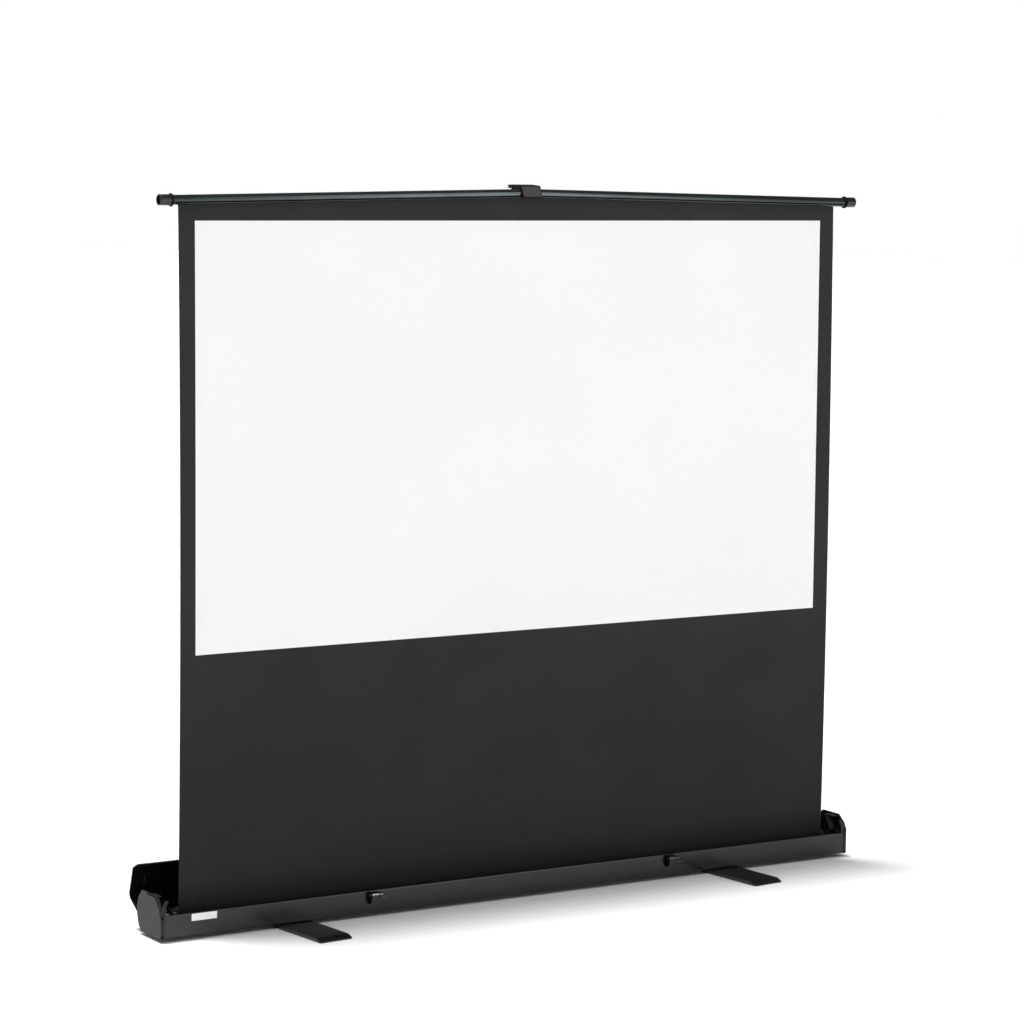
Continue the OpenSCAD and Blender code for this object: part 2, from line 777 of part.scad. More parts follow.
module lower_arm_left() { lower_arm(-1); }
module lower_arm_right() { lower_arm(1); }

// Rivet at the knee, fast in the lower arm
module elbow_pin(side) {
    color(bare_steel) in_case() {
        rod_y(arm_y - 0.6, arm_back_y, side * knee_x, knee_z, arm_pin_d / 2 - 0.01);
        rod_y(arm_back_y, arm_back_y + 1.6, side * knee_x, knee_z, arm_pin_d / 2 + 3);
    }
}

module elbow_pin_left() { elbow_pin(-1); }
module elbow_pin_right() { elbow_pin(1); }

module upper_arm(side) {
    color(black_paint) difference() {
        at_side(side) arm_plate(arm_y, pivot_half, arm_top_z) difference() {
            union() {
                geared_hub(180, -sector_front, sector_back, side < 0 ? tooth_step / 2 : 0);
                arm_outline(-arm_angle);
            }
            circle(r = arm_pin_d / 2 + pin_clear);
        }
        in_case() rod_y(arm_y - 1, arm_y + arm_t + 1, side * knee_x, knee_z, arm_pin_d / 2 + pin_clear);
    }
}

module upper_arm_left() { upper_arm(-1); }
module upper_arm_right() { upper_arm(1); }

// Plate that carries the bar: a bead on its neck lies in the clip's notch
module top_bracket() {
    bead_y = bar_y + notch_y;
    bead_z = bar_mid_z + notch_z;
    color(black_paint) in_case() difference() {
        union() {
            translate([0, bracket_y + bracket_t, 0]) rotate([90, 0, 0]) linear_extrude(bracket_t)
                polygon([[-bracket_half, arm_top_z - 14], [bracket_half, arm_top_z - 14],
                    [bracket_half, arm_top_z + 8], [bead_half + bracket_neck - 8, arm_top_z + 26],
                    [bead_half, arm_top_z + 34], [bead_half, bead_z + 1.2],
                    [-bead_half, bead_z + 1.2], [-bead_half, arm_top_z + 34],
                    [-bead_half - bracket_neck + 8, arm_top_z + 26], [-bracket_half, arm_top_z + 8]]);
            translate([-bead_half, bead_y, bead_z - 1.2]) cube([2 * bead_half, bracket_y + 1 - bead_y, 2.4]);
            rod_x(-bead_half, bead_half, bead_y, bead_z, bead_r);
        }
        for (s = [-1, 1])
            rod_y(bracket_y - 1, bracket_y + bracket_t + 1, s * pivot_half, arm_top_z, arm_pin_d / 2);
    }
}

module top_pins() {
    color(bare_steel) in_case() for (s = [-1, 1]) {
        rod_y(bracket_y, arm_y + arm_t, s * pivot_half, arm_top_z, arm_pin_d / 2);
        rod_y(bracket_y - 1.2, bracket_y, s * pivot_half, arm_top_z, arm_pin_d / 2 + 2.5);
    }
}

// A bowed rod of radius r at depth y: two straight halves that meet under the clip
module bowed_rod(r, extra, y) {
    for (s = [-1, 1]) at_side(s) intersection() {
        translate([collar_in, y, bar_z]) rotate([0, 90 - bow_slope, 180])
            translate([0, 0, -extra - 1]) cylinder(h = collar_in / cos(bow_slope) + extra + 6, r = r);
        translate([0, y - 2 * r, bar_z - 2 * r]) cube([collar_in + extra, 4 * r, 4 * r + bow_mid_z]);
    }
}

// The tube has a round groove along its front, below the middle
module top_tube() {
    color(black_paint) in_case() difference() {
        bowed_rod(tube_d / 2, 0, bar_y);
        bowed_rod(tube_d / 2 - tube_wall, 2, bar_y);
        translate([0, -tube_d / 2 * cos(groove_turn), -tube_d / 2 * sin(groove_turn)])
            bowed_rod(groove_r, 2, bar_y);
    }
}

// Collar on the end of the tube with a lug that holds the hem rod
module collar(side) {
    color(black_plastic) in_case() at_side(side) difference() {
        union() {
            rod_x(collar_in, collar_in + collar_w, bar_y, bar_z, collar_d / 2);
            rod_x(collar_in, collar_in + collar_w, hem_y, bar_z, hem_r + 2.4);
        }
        rod_x(collar_in - 1, collar_in + hem_pin_l + 0.2, hem_y, bar_z, hem_r + 0.15);
        rod_x(collar_in - 1, collar_in + collar_w + 1, bar_y, bar_z, tube_d / 2 - tube_wall - 0.1);
    }
}

module collar_left() { collar(-1); }
module collar_right() { collar(1); }

// Turned end plug with a rounded end and a shank in the tube
module end_plug(side) {
    x0 = collar_in + collar_w;
    color(black_plastic) in_case() at_side(side) translate([x0, bar_y, bar_z]) rotate([0, 90, 0]) {
        rotate_extrude() union() {
            square([plug_d / 2, plug_l - 4]);
            square([plug_d / 2 - 4, plug_l]);
            translate([plug_d / 2 - 4, plug_l - 4]) intersection() {
                circle(r = 4);
                square([4, 4]);
            }
        }
        translate([0, 0, -collar_w]) cylinder(h = collar_w, r = tube_d / 2 - tube_wall - 0.2);
    }
}

module end_plug_left() { end_plug(-1); }
module end_plug_right() { end_plug(1); }

module hem_rod() {
    color(bare_steel) in_case() bowed_rod(hem_r, hem_pin_l, hem_y);
}

module hem_sleeve() {
    short = fabric_half - collar_in;
    color(black_cloth) in_case() difference() {
        bowed_rod(hem_r + hem_skin, short, hem_y);
        bowed_rod(hem_r, short + 2, hem_y);
    }
}

// Extruded clip over the tube: slanted front, top plate, notch at the rear
module clip() {
    color(black_plastic) in_case() translate([0, bar_y, bar_mid_z]) along_x(-clip_w / 2, clip_w / 2)
        difference() {
            polygon([clip_toe, [clip_front_y, clip_top], [clip_reach * 0.55, clip_top_rear + 0.6],
                [clip_reach, clip_top_rear], [clip_reach, clip_top_rear - clip_plate_t],
                [clip_bore_r + 3, clip_top_rear - clip_plate_t - 0.5], [clip_bore_r + 2.6, clip_heel_z],
                [clip_bore_r / 2, clip_heel_z], [0, 0], [clip_toe[0] * 0.1, clip_toe[1]]]);
            circle(r = clip_bore_r);
            translate([notch_y, notch_z]) circle(r = notch_r);
            translate([notch_y, notch_z - notch_slot / 2]) square([10, notch_slot]);
        }
}

// Bare name plate on the clip's slanted front
module clip_plate() {
    a = clip_toe;
    b = [clip_front_y, clip_top];
    dir = (b - a) / norm(b - a);
    n = [-dir[1], dir[0]];
    color([0.30, 0.28, 0.24]) in_case() translate([0, bar_y, bar_mid_z])
        along_x(-clip_w / 2 + plate_inset, clip_w / 2 - plate_inset)
            polygon([a + dir * plate_inset, b - dir * plate_inset,
                b - dir * plate_inset + n * clip_plate_thick, a + dir * plate_inset + n * clip_plate_thick]);
}

trough();
end_cap_left();
end_cap_right();
end_block_left();
end_block_right();
cap_screws();
hinge_rod();
blank_label();
spring_spindle();
idler_bush();
arm_base();
base_pins();
latch_base_left();
latch_base_right();
latch_lever_left();
latch_lever_right();
latch_pin_left();
latch_pin_right();
foot_bolt_left();
foot_bolt_right();
foot_left();
foot_right();
foot_pads_left();
foot_pads_right();
lid();
lid_catches();
lid_seal();
roller_tube();
roller_plug_left();
roller_plug_right();
roller_spring();
fabric_roll();
fabric();
screen_face();
lower_arm_left();
lower_arm_right();
elbow_pin_left();
elbow_pin_right();
upper_arm_left();
upper_arm_right();
top_bracket();
top_pins();
top_tube();
collar_left();
collar_right();
end_plug_left();
end_plug_right();
hem_rod();
hem_sleeve();
clip();
clip_plate();
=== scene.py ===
# Pull-up projection screen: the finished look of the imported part, in its own frame and in metres.
import json
import math

import bmesh
import bpy
from mathutils import Matrix, Vector


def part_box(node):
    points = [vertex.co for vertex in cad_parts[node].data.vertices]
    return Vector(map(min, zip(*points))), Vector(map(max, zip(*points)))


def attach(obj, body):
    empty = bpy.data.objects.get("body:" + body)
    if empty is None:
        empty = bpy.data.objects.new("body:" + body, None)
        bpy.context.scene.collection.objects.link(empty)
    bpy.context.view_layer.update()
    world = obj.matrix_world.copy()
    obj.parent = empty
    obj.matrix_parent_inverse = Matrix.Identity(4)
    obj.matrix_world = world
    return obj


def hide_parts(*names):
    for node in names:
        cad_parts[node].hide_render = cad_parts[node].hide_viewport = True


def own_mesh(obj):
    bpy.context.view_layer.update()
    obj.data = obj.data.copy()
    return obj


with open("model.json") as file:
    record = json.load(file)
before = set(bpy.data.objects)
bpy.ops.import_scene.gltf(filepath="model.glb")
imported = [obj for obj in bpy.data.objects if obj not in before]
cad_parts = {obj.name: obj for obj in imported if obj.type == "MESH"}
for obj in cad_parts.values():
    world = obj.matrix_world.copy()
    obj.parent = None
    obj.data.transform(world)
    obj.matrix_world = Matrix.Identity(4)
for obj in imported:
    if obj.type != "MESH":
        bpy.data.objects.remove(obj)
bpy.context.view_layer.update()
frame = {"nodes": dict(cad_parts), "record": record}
nodes = frame["nodes"]
bodyOf = {n: body for body, members in frame["record"]["behaviour"]["bodies"].items() for n in members}
slotOf = {s["node"]: s["material_slot"] for s in frame["record"]["subparts"]}
scene = bpy.context.scene
mm = 0.001

# Case millimetres, in which most pieces are measured: across from the middle, back from the case's
# front face and up from its underside
capLow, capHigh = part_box("end_cap_left")
caseFront = capLow.y
underside = capLow.z
caseCorner = Vector((0, caseFront, underside))
caseEnd = -capLow.x / mm
caseDepth = (capHigh.y - capLow.y) / mm


def place(x, y, z):
    return Vector((x * mm, caseFront + y * mm, underside + z * mm))


def inCase(node):
    # corners of a node in case millimetres
    low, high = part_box(node)
    return (low - caseCorner) / mm, (high - caseCorner) / mm


def heading(turn, rise):
    # a direction, turned from +Y towards +X and raised above the floor, both in radians
    return Vector((math.sin(turn) * math.cos(rise), math.cos(turn) * math.cos(rise), math.sin(rise)))


def fromHex(text):
    # sRGB hex to the linear colour that the shaders take
    parts = [int(text[i:i + 2], 16) / 255 for i in (1, 3, 5)]
    return (*[c / 12.92 if c <= 0.04045 else ((c + 0.055) / 1.055) ** 2.4 for c in parts], 1)


def grey(level):
    return (level, level, level, 1)


print("frame loaded")

# Camera: at the photograph's angle and distance
cameraPlan = {
    "position": (-3.793, -6.0885, 1.6141),
    "yaw": 31.8575,     # degrees towards +X from looking straight at the screen
    "pitch": 6.0469,    # degrees down
    "roll": 0.5981,
    "lens": 114.99,
    "sensor": 36,
    "farthest": 60,
}


def makeCamera(plan):
    yaw, pitch, roll = (math.radians(plan[k]) for k in ("yaw", "pitch", "roll"))
    ahead = heading(yaw, -pitch)
    level = Vector((math.cos(yaw), -math.sin(yaw), 0))
    above = level.cross(ahead)
    right = math.cos(roll) * level + math.sin(roll) * above
    up = math.cos(roll) * above - math.sin(roll) * level
    camera = bpy.data.objects.new("photoCamera", bpy.data.cameras.new("photoCamera"))
    camera.data.lens = plan["lens"]
    camera.data.sensor_width = plan["sensor"]
    camera.data.clip_end = plan["farthest"]
    turn = Matrix((right, up, -ahead)).transposed().to_4x4()
    camera.matrix_world = Matrix.Translation(plan["position"]) @ turn
    scene.collection.objects.link(camera)
    scene.camera = camera


makeCamera(cameraPlan)


def addNode(tree, kind, values=None, links=None, **settings):
    # one shader node: settings on the node, values on its sockets, links from other sockets
    node = tree.nodes.new(kind)
    for key, value in settings.items():
        setattr(node, key, value)
    for key, value in (values or {}).items():
        node.inputs[key].default_value = value
    for key, source in (links or {}).items():
        tree.links.new(source, node.inputs[key])
    return node


def rampNode(tree, source, stops):
    # a colour ramp over a socket's value, its stops given as (position, colour)
    ramp = addNode(tree, "ShaderNodeValToRGB", links={"Fac": source})
    elements = ramp.color_ramp.elements
    while len(elements) < len(stops):
        elements.new(0.5)
    for element, (at, colour) in zip(elements, stops):
        element.position = at
        element.color = colour
    return ramp


def bumped(tree, shader, source, height, strength=1.0):
    # bump from a socket's value, its height in millimetres
    bump = addNode(tree, "ShaderNodeBump", {"Strength": strength, "Distance": height * mm},
                   {"Height": source})
    tree.links.new(bump.outputs["Normal"], shader.inputs["Normal"])


def newMaterial(name, colour, roughness, metallic=0.0, **sockets):
    material = bpy.data.materials.new(name)
    material.use_nodes = True
    tree = material.node_tree
    shader = tree.nodes["Principled BSDF"]
    shader.inputs["Base Color"].default_value = fromHex(colour)
    shader.inputs["Roughness"].default_value = roughness
    shader.inputs["Metallic"].default_value = metallic
    for key, value in sockets.items():
        shader.inputs[key.replace("_", " ")].default_value = value
    material.diffuse_color = fromHex(colour)
    return material, tree, shader


def mottled(tree, shader, low, high, size, detail=4):
    # slow change between two colours over patches of a real size in millimetres
    where = addNode(tree, "ShaderNodeTexCoord")
    noise = addNode(tree, "ShaderNodeTexNoise", {"Scale": 1 / (size * mm), "Detail": detail},
                    {"Vector": where.outputs["Object"]})
    ramp = rampNode(tree, noise.outputs["Fac"], [(0.35, fromHex(low)), (0.65, fromHex(high))])
    tree.links.new(ramp.outputs["Color"], shader.inputs["Base Color"])
    return ramp.outputs["Color"]


def grained(tree, shader, size, height, kind="ShaderNodeTexNoise", stretch=(1, 1, 1)):
    # bump of a real grain size and height in millimetres
    where = addNode(tree, "ShaderNodeTexCoord")
    scaled = addNode(tree, "ShaderNodeMapping", {"Scale": stretch}, {"Vector": where.outputs["Object"]})
    grain = addNode(tree, kind, {"Scale": 1 / (size * mm)}, {"Vector": scaled.outputs["Vector"]})
    result = grain.outputs["Fac"] if "Fac" in grain.outputs else grain.outputs["Distance"]
    bumped(tree, shader, result, height)


def powderCoat(name, low, high, roughness, gloss, peel):
    # powder coat on steel: baked on, so the eye sees a fine orange peel and soft highlights
    material, tree, shader = newMaterial(name, low, roughness, IOR=1.5, Specular_IOR_Level=gloss)
    mottled(tree, shader, low, high, size=60)
    grained(tree, shader, size=1.1, height=peel)
    return material


def mouldedPlastic(name, low, high, roughness, gloss):
    # plastic from a spark-eroded mould: an even, very fine grain and a dull sheen
    material, tree, shader = newMaterial(name, low, roughness, IOR=1.53, Specular_IOR_Level=gloss)
    mottled(tree, shader, low, high, size=25)
    grained(tree, shader, size=0.7, height=0.025, kind="ShaderNodeTexVoronoi")
    return material


def anodisedTube(name, low, high):
    # smoked anodising on drawn aluminium: a grey-green metal sheen with faint lines along the tube
    material, tree, shader = newMaterial(name, low, roughness=0.24, metallic=0.85)
    mottled(tree, shader, low, high, size=90)
    grained(tree, shader, size=0.9, height=0.003, stretch=(0.02, 1, 1))
    return material


def zincSteel(name):
    # zinc plated steel: a dull, slightly blotched grey metal
    material, tree, shader = newMaterial(name, "#9a9c9e", roughness=0.35, metallic=1.0)
    mottled(tree, shader, "#8b8d90", "#a9abac", size=8)
    grained(tree, shader, size=0.6, height=0.01)
    return material


def blackChrome(name):
    # black chrome on steel: a dark mirror
    material, tree, shader = newMaterial(name, "#5c5c60", roughness=0.13, metallic=1.0)
    mottled(tree, shader, "#545458", "#646468", size=12)
    grained(tree, shader, size=2.0, height=0.006)
    return material


def mouldedRubber(name):
    # hard moulded rubber: nearly black, with a satin skin that catches the light along its edges
    material, tree, shader = newMaterial(name, "#0e0e0f", roughness=0.26, IOR=1.52)
    mottled(tree, shader, "#0c0c0d", "#131314", size=14)
    grained(tree, shader, size=0.8, height=0.012)
    return material


def flatBlack(name):
    # flat black with no sheen, so the opening reads as a dark hollow: painted shade inside the case, in
    # hollows and in the bar's groove, and also the black of the screw heads and corner studs
    material, tree, shader = newMaterial(name, "#040405", roughness=0.8, Specular_IOR_Level=0.1)
    mottled(tree, shader, "#030304", "#060607", size=40)
    grained(tree, shader, size=0.9, height=0.02)
    return material


# Painted shade on the screen cloth: its colour is darker towards the case
clothShadeByHeight = [   # height above the origin in metres, share of the colour left
    (0.0, 0.34), (0.075, 0.38), (0.12, 0.72), (0.2, 0.8), (0.55, 0.86), (0.66, 1.0),
]
weave = {"pitch": 1.2, "height": 0.02, "strength": 0.3}


def screenCloth(name, low, high):
    # matt black screen cloth: a plain weave too fine to see, drawn coarser so that it just shows; its lower
    # drop is painted darker towards the case, painted shade where the case keeps the floor's light off it
    material, tree, shader = newMaterial(name, low, roughness=0.85, IOR=1.45, Specular_IOR_Level=0.2)
    patches = mottled(tree, shader, low, high, size=220)
    where = addNode(tree, "ShaderNodeTexCoord")
    height = addNode(tree, "ShaderNodeSeparateXYZ", links={"Vector": where.outputs["Object"]})
    # painted shade: the cloth's colour darkens towards its bottom, near the case
    heightShade = rampNode(tree, height.outputs["Z"], [(at, grey(level)) for at, level in clothShadeByHeight])
    toned = addNode(tree, "ShaderNodeVectorMath", links={0: patches, 1: heightShade.outputs["Color"]},
                    operation="MULTIPLY")
    tree.links.new(toned.outputs["Vector"], shader.inputs["Base Color"])
    # the bands of a wave texture lie nearly 1 / (pi * scale) apart
    bands = {"Scale": 1 / (math.pi * weave["pitch"] * mm)}
    across, along = [addNode(tree, "ShaderNodeTexWave", bands, {"Vector": where.outputs["Object"]},
                             bands_direction=axis) for axis in "XZ"]
    crossed = addNode(tree, "ShaderNodeMath", links={0: across.outputs["Fac"], 1: along.outputs["Fac"]},
                      operation="ADD")
    bumped(tree, shader, crossed.outputs["Value"], weave["height"], weave["strength"])
    return material


def projectionWhite(name):
    # matt white PVC coating: even, with a fine pearl grain
    material, tree, shader = newMaterial(name, "#f7f7f8", roughness=0.72, IOR=1.5)
    mottled(tree, shader, "#f6f6f7", "#f8f8f8", size=420, detail=1)
    grained(tree, shader, size=0.8, height=0.01)
    return material


def plainVinyl(name, low, high):
    # vinyl left bare: smooth and slightly glossy
    material, tree, shader = newMaterial(name, low, roughness=0.4, IOR=1.5)
    mottled(tree, shader, low, high, size=12)
    grained(tree, shader, size=1.5, height=0.004)
    return material


finishes = {
    "case_paint": powderCoat("powderCoatedSteel", "#08080a", "#0b0b0c", 0.21, gloss=0.53, peel=0.006),
    "foot_paint": powderCoat("powderCoatedFeet", "#0b0b0c", "#0f0f10", 0.3, gloss=0.6, peel=0.01),
    "cap_moulding": mouldedPlastic("mouldedAbsBlack", "#18191b", "#1c1d1f", 0.46, gloss=0.25),
    "bar_paint": anodisedTube("smokedAnodisedTube", "#373c3d", "#3e4445"),
    "plug_rubber": mouldedRubber("mouldedRubber"),
    "plain_steel": zincSteel("zincPlatedSteel"),
    "latch_chrome": blackChrome("blackChromedSteel"),
    "black_cloth": screenCloth("wovenScreenCloth", "#2c2c2d", "#303031"),
    "white_cloth": projectionWhite("mattProjectionCoat"),
    "bush_nylon": mouldedPlastic("mouldedNylon", "#050506", "#080809", 0.6, gloss=0.1),
    "label_white": plainVinyl("bareVinylLabel", "#ededed", "#f4f4f4"),
    "plate_gold": plainVinyl("bareNamePlate", "#2c2a28", "#353230"),
}
# flat black: painted shade in hollows and inside the case, and the black of screw heads and studs
blackAndPaintedShade = flatBlack("flatBlackInside")
print("camera and materials ready")

# Studio: pale floor, a room that is light at eye level and darker above, so that round metal shows
# clear bands, a wide lamp in front, a lamp overhead that draws the soft shadow round the case, and a
# tall panel at the right that shows as the band of light along the bar
studio = {
    "floorSize": 240,
    "floorColour": "#fefefe",
    "floorRoughness": 0.9,
    "roomStrength": 1.3,
    "room": [(0.0, 0.77), (0.17, 0.77), (0.27, 0.13), (0.8, 0.13), (0.9, 0.3)],   # sine of height, level
    # degrees towards -X from straight in front, degrees above the floor, spread in degrees, power
    "lamps": {"frontLamp": (36, 50, 40, 0.65), "topLamp": (131, 79, 13, 3.0)},
    "panelPlace": (1.46, -2.6, 2.0),
    "panelSize": (0.93, 3.9),
    "panelPower": 44,
}


def makeFloor(plan):
    half = plan["floorSize"] / 2
    corners = [(-half, -half, 0), (half, -half, 0), (half, half, 0), (-half, half, 0)]
    mesh = bpy.data.meshes.new("studioFloor")
    mesh.from_pydata(corners, [], [(0, 1, 2, 3)])
    paint = newMaterial("paleFloor", plan["floorColour"], plan["floorRoughness"], Specular_IOR_Level=0.0)
    mesh.materials.append(paint[0])
    floor = bpy.data.objects.new("studioFloor", mesh)
    scene.collection.objects.link(floor)


def makeRoom(plan):
    world = bpy.data.worlds.new("studioRoom")
    world.use_nodes = True
    tree = world.node_tree
    direction = addNode(tree, "ShaderNodeTexCoord")
    height = addNode(tree, "ShaderNodeSeparateXYZ", links={"Vector": direction.outputs["Generated"]})
    ramp = rampNode(tree, height.outputs["Z"], [(at, grey(level)) for at, level in plan["room"]])
    background = tree.nodes["Background"]
    tree.links.new(ramp.outputs["Color"], background.inputs["Color"])
    background.inputs["Strength"].default_value = plan["roomStrength"]
    scene.world = world
    scene.view_settings.view_transform = "Standard"
    scene.view_settings.look = "None"


def makeLamps(plan):
    for name, (turn, rise, spread, power) in plan["lamps"].items():
        lamp = bpy.data.objects.new(name, bpy.data.lights.new(name, "SUN"))
        lamp.data.energy = power
        lamp.data.angle = math.radians(spread)
        source = -heading(math.radians(turn), -math.radians(rise))
        lamp.rotation_euler = source.to_track_quat("Z", "Y").to_euler()
        scene.collection.objects.link(lamp)
    panel = bpy.data.objects.new("sidePanel", bpy.data.lights.new("sidePanel", "AREA"))
    panel.data.shape = "RECTANGLE"
    panel.data.size, panel.data.size_y = plan["panelSize"]
    panel.data.energy = plan["panelPower"]
    panel.location = plan["panelPlace"]
    level = Vector((panel.location.x, panel.location.y, 0))
    panel.rotation_euler = level.to_track_quat("Z", "Y").to_euler()
    panel.visible_diffuse = False
    scene.collection.objects.link(panel)


makeFloor(studio)
makeRoom(studio)
makeLamps(studio)
print("studio ready")

# Degrees between faces from which an edge is rounded, and from which it is shaded sharp
bevelFrom = 35
sharpFrom = 40
# CAD meshes are cleaned first: points are merged within millimetres, faces joined within degrees
cleaned = {"merge": 0.002, "flat": 1}


def finishPiece(name, bm, node, replaced=None, bevel=0.0, segments=2, material=None):
    # turns a bmesh into a piece that stands for a CAD node and moves with its body
    bmesh.ops.recalc_face_normals(bm, faces=bm.faces)
    mesh = bpy.data.meshes.new(name)
    bm.to_mesh(mesh)
    bm.free()
    piece = bpy.data.objects.new(name, mesh)
    scene.collection.objects.link(piece)
    mesh.materials.append(material or finishes[slotOf[node]])
    for face in mesh.polygons:
        face.use_smooth = True
    if bevel:
        rounding = piece.modifiers.new("edges", "BEVEL")
        rounding.width = bevel * mm
        rounding.segments = segments
        rounding.limit_method = "ANGLE"
        rounding.angle_limit = math.radians(bevelFrom)
        rounding.use_clamp_overlap = True
        rounding.miter_outer = "MITER_ARC"
    mesh.set_sharp_from_angle(angle=math.radians(sharpFrom))
    if bevel:
        weights = piece.modifiers.new("shading", "WEIGHTED_NORMAL")
        weights.keep_sharp = True
    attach(piece, bodyOf[node])
    if replaced is None:
        replaced = [node]
    if replaced:
        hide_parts(*replaced)
    return piece


def softened(node, name, bevel, material=None):
    # the CAD solid's own shape with its edges rounded
    bm = bmesh.new()
    bm.from_mesh(nodes[node].data)
    bmesh.ops.remove_doubles(bm, verts=bm.verts, dist=cleaned["merge"] * mm)
    bmesh.ops.dissolve_limit(bm, angle_limit=math.radians(cleaned["flat"]), verts=bm.verts, edges=bm.edges)
    return finishPiece(name, bm, node, bevel=bevel, material=material)


def repaint(piece, material, chosen):
    # a second material on the faces whose middle, in case millimetres, is chosen: painted shade on the end
    # blocks, the case's paint on the latches' plates
    piece.data.materials.append(material)
    for face in piece.data.polygons:
        if chosen((piece.matrix_world @ face.center - caseCorner) / mm):
            face.material_index = 1


def around(radius, degrees):
    return (radius * math.cos(math.radians(degrees)), radius * math.sin(math.radians(degrees)))


def circle(radius, steps):
    return [around(radius, 360 * k / steps) for k in range(steps)]


# Arcs in corners: longest is the share of a side that an arc may take, least is in millimetres
arc = {"steps": 5, "longest": 0.45, "least": 0.01}


def rounded(points, radius, closed=False):
    # a path with its corners turned into arcs, with one radius or one for each corner
    count = len(points)
    result = []
    for i, corner in enumerate(points):
        corner = Vector(corner)
        if not closed and i in (0, count - 1):
            result.append(corner)
            continue
        before = Vector(points[i - 1]) - corner
        after = Vector(points[(i + 1) % count]) - corner
        r = radius[i] if hasattr(radius, "__len__") else radius
        half = before.angle(after) / 2
        limit = arc["longest"] * min(before.length, after.length)
        reach = min(r / math.tan(half), limit) if r else 0
        if reach < arc["least"]:
            result.append(corner)
            continue
        start = corner + before.normalized() * reach
        end = corner + after.normalized() * reach
        for k in range(arc["steps"] + 1):
            t = k / arc["steps"]
            result.append((1 - t) ** 2 * start + 2 * t * (1 - t) * corner + t ** 2 * end)
    return result


def beside(path, shift):
    # the same open path moved to its left
    result = []
    for i, point in enumerate(path):
        a = path[max(i - 1, 0)]
        b = path[min(i + 1, len(path) - 1)]
        one = (point - a) if i else (b - point)
        two = (b - point) if i < len(path) - 1 else one
        normals = [Vector((-d.y, d.x)).normalized() for d in (one, two)]
        total = normals[0] + normals[1]
        result.append(point + total * shift / (1 + normals[0].dot(normals[1])))
    return result


def thickened(path, thickness):
    # closed outline of a sheet that lies along an open path
    return path + beside(path, thickness)[::-1]


def joinRings(bm, one, two):
    # a band of faces between two closed rings of points
    count = len(one)
    for i in range(count):
        j = (i + 1) % count
        bm.faces.new((one[i], one[j], two[j], two[i]))


def prism(bm, outline, x0, x1, turn=None):
    # a side outline (depth, height) stretched along the case
    one, two = [[bm.verts.new(place(x, *(turn(p) if turn else p))) for p in outline] for x in (x0, x1)]
    joinRings(bm, one, two)
    bm.faces.new(one[::-1])
    bm.faces.new(two)


samePoint = 0.0001   # millimetres within which two points of a lathe shape are one


def turned(bm, profile, centre, axis="X", steps=48):
    # a lathe shape: profile points are (distance along the axis, radius), single points on the axis
    def point(along, u, v):
        offset = (along, u, v) if axis == "X" else (u, along, v)
        return bm.verts.new(place(*[c + o for c, o in zip(centre, offset)]))

    rings = []
    for along, radius in profile:
        spots = circle(radius, steps) if radius >= samePoint else [(0, 0)]
        rings.append([point(along, u, v) for u, v in spots])
    for one, two in zip(rings, rings[1:]):
        if len(one) == len(two) == steps:
            joinRings(bm, one, two)
        elif len(one) != len(two):
            tip, ring = sorted((one, two), key=len)
            for k in range(steps):
                bm.faces.new((tip[0], ring[k], ring[(k + 1) % steps]))


# Top bar: two straight slopes that meet in a short round crown under the clip, grooved along the front
bar = {
    "crown": 22,
    "slope": 1.07,          # degrees
    "rings": 64,
    "sides": 48,
    "radius": 10.3,
    "wall": 1.5,
    "grooveTurn": 211,      # degrees round from the back
    "grooveHalf": 8.6,      # degrees
    "grooveFloor": 0.9,     # width at its bottom as a share of the width at its top
    "grooveDepth": 2.3,
    "grooveWall": 0.6,
}
tubeLow, tubeHigh = inCase("top_tube")
tubeY = (tubeLow.y + tubeHigh.y) / 2
tubeEnd = tubeHigh.x
barZ = tubeLow.z + bar["radius"]
sleeveLow, sleeveHigh = inCase("hem_sleeve")
sleeveY = (sleeveLow.y + sleeveHigh.y) / 2
sleeveRadius = (sleeveHigh.y - sleeveLow.y) / 2
fabricLow, fabricHigh = inCase("fabric")
whiteLow, whiteHigh = inCase("screen_face")


def barHeight(x):
    # height of the bowed bar's axis
    full, here = [math.hypot(v, bar["crown"]) - bar["crown"] for v in (tubeEnd, x)]
    return barZ + tubeEnd * math.tan(math.radians(bar["slope"])) * (1 - here / full)


def bowedSweep(bm, half, y, outline):
    # a cross-section (depth, height) carried along the bowed line from one side to the other, open at
    # both ends
    rings = []
    for i in range(bar["rings"] + 1):
        x = -half + 2 * half * i / bar["rings"]
        rings.append([bm.verts.new(place(x, y + p[0], barHeight(x) + p[1])) for p in outline])
    for one, two in zip(rings, rings[1:]):
        joinRings(bm, one, two)
    return rings


def tubeOutlines(plan):
    # outer and inner outline of the tube, both bent inwards at the groove
    middle, half, floor = plan["grooveTurn"], plan["grooveHalf"], plan["grooveHalf"] * plan["grooveFloor"]
    span = 360 - 2 * half
    stops = [(middle + half + span * k / plan["sides"], 0) for k in range(plan["sides"] + 1)]
    stops += [(middle - floor, plan["grooveDepth"]), (middle + floor, plan["grooveDepth"])]
    outer = [around(plan["radius"] - depth, turn) for turn, depth in stops]
    inner = [around(plan["radius"] - depth - (plan["grooveWall"] if depth else plan["wall"]), turn)
             for turn, depth in stops]
    return outer, inner


def makeTube(plan):
    bm = bmesh.new()
    outer, inner = [bowedSweep(bm, tubeEnd, tubeY, outline) for outline in tubeOutlines(plan)]
    for end in (0, -1):
        joinRings(bm, outer[end], inner[end])
    bandCount = len(outer[0])
    tube = finishPiece("topTube", bm, "top_tube")
    # the outside's last bands are the groove, painted flat black as shade
    tube.data.materials.append(blackAndPaintedShade)
    for face in tube.data.polygons[:plan["rings"] * bandCount]:
        if face.index % bandCount >= plan["sides"]:
            face.material_index = 1


